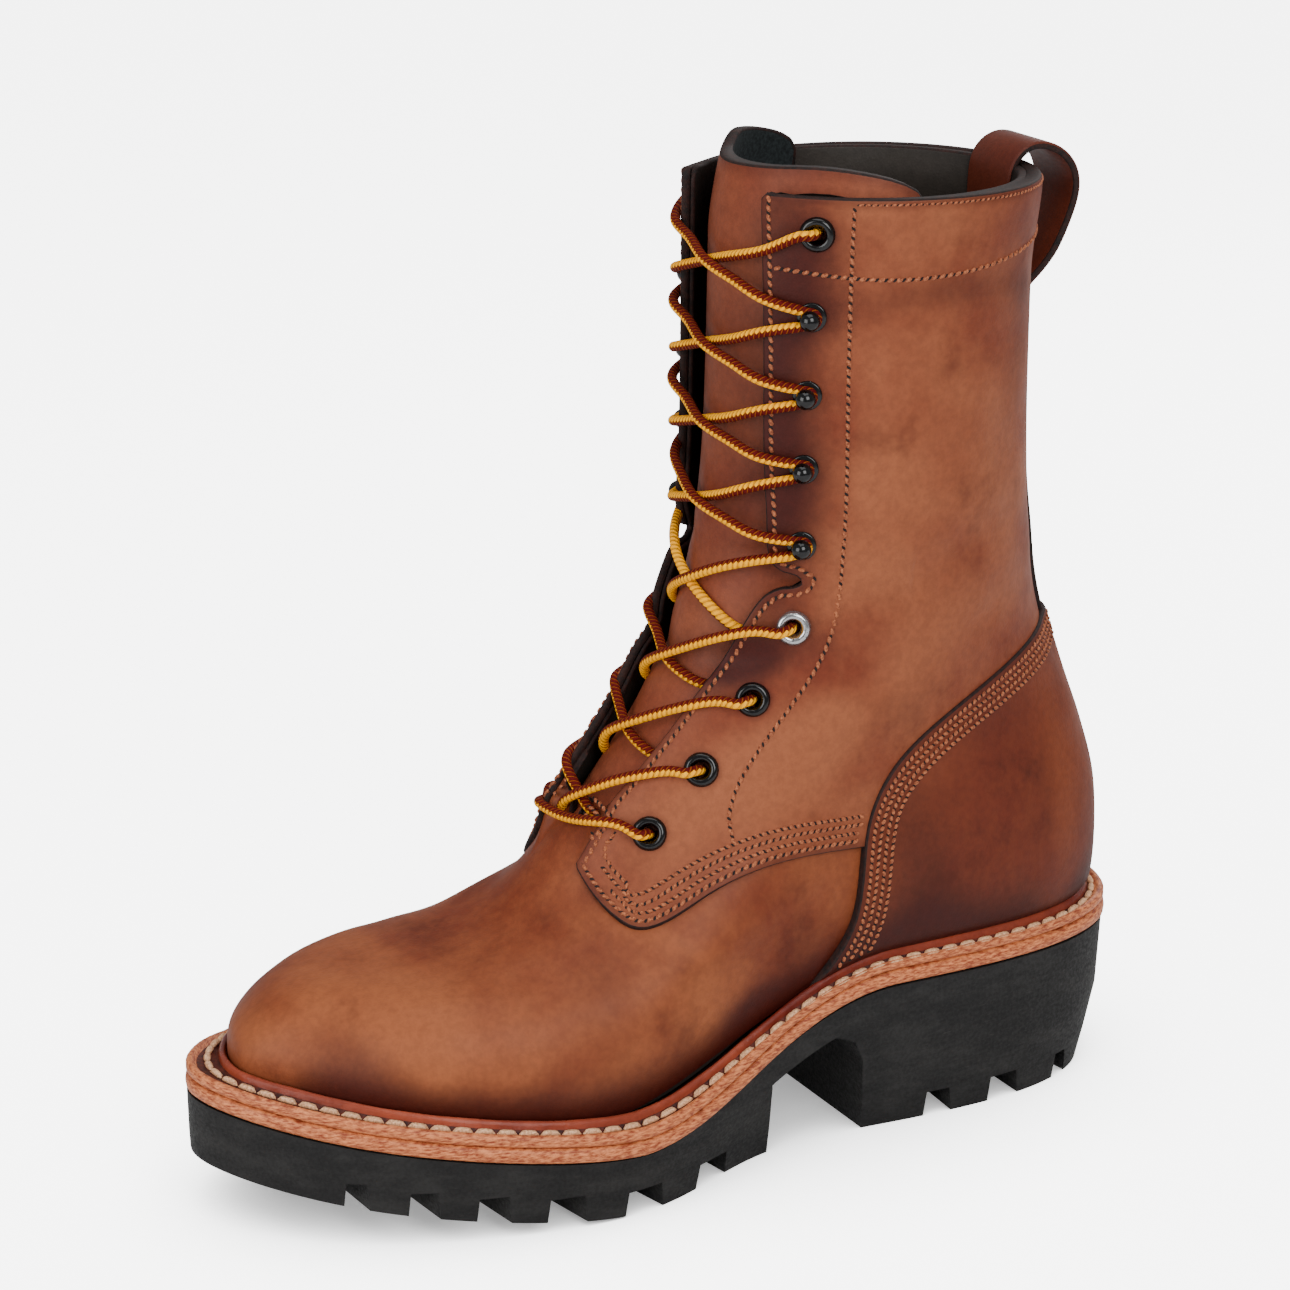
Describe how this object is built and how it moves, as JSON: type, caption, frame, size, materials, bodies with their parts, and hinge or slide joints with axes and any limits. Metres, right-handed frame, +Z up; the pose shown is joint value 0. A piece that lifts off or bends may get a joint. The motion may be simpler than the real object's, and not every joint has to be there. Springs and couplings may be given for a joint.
{
  "type": "logger boot",
  "caption": "Left lace-up work boot of oiled brown leather with a tall shaft, stitched welt, heel pull loop and a lugged rubber sole with a high heel.",
  "frame": {"origin": "middle of the heel's resting face, on the floor", "axes": "+X towards the toe, +Y towards the wearer's left, the outer side of this boot, +Z up"},
  "size_m": [0.3052, 0.1097, 0.3055],
  "materials": {
    "leather": "oiled chestnut leather, satin",
    "dark_leather": "darker oiled leather, satin",
    "welt_leather": "waxed red-brown leather, stitched",
    "tan_leather": "trimmed tan edge, matte",
    "rubber": "black rubber, matte",
    "lining": "dark lining leather, matte",
    "metal": "black enamel, gloss",
    "lace": "round braided yellow lace flecked with dark red"
  },
  "bodies": {
    "root": {"outsole": "rubber", "midsole": "tan_leather", "welt": "welt_leather", "insole": "lining", "upper": "leather", "quarter_outer": "leather", "quarter_inner": "leather", "counter": "dark_leather", "backstay": "dark_leather", "tongue": "leather", "pull_loop": "dark_leather", "eyelet_outer_1": "metal", "eyelet_outer_2": "metal", "eyelet_outer_3": "metal", "eyelet_outer_4": "metal", "eyelet_outer_5": "metal", "eyelet_inner_1": "metal", "eyelet_inner_2": "metal", "eyelet_inner_3": "metal", "eyelet_inner_4": "metal", "eyelet_inner_5": "metal", "hook_outer_1": "metal", "hook_outer_2": "metal", "hook_outer_3": "metal", "hook_outer_4": "metal", "hook_inner_1": "metal", "hook_inner_2": "metal", "hook_inner_3": "metal", "hook_inner_4": "metal", "lace_bar_1": "lace", "lace_cross_1": "lace", "lace_cross_2": "lace", "lace_cross_3": "lace", "lace_cross_4": "lace", "lace_cross_5": "lace", "lace_cross_6": "lace", "lace_cross_7": "lace", "lace_cross_8": "lace"}
  },
  "joints": []
}
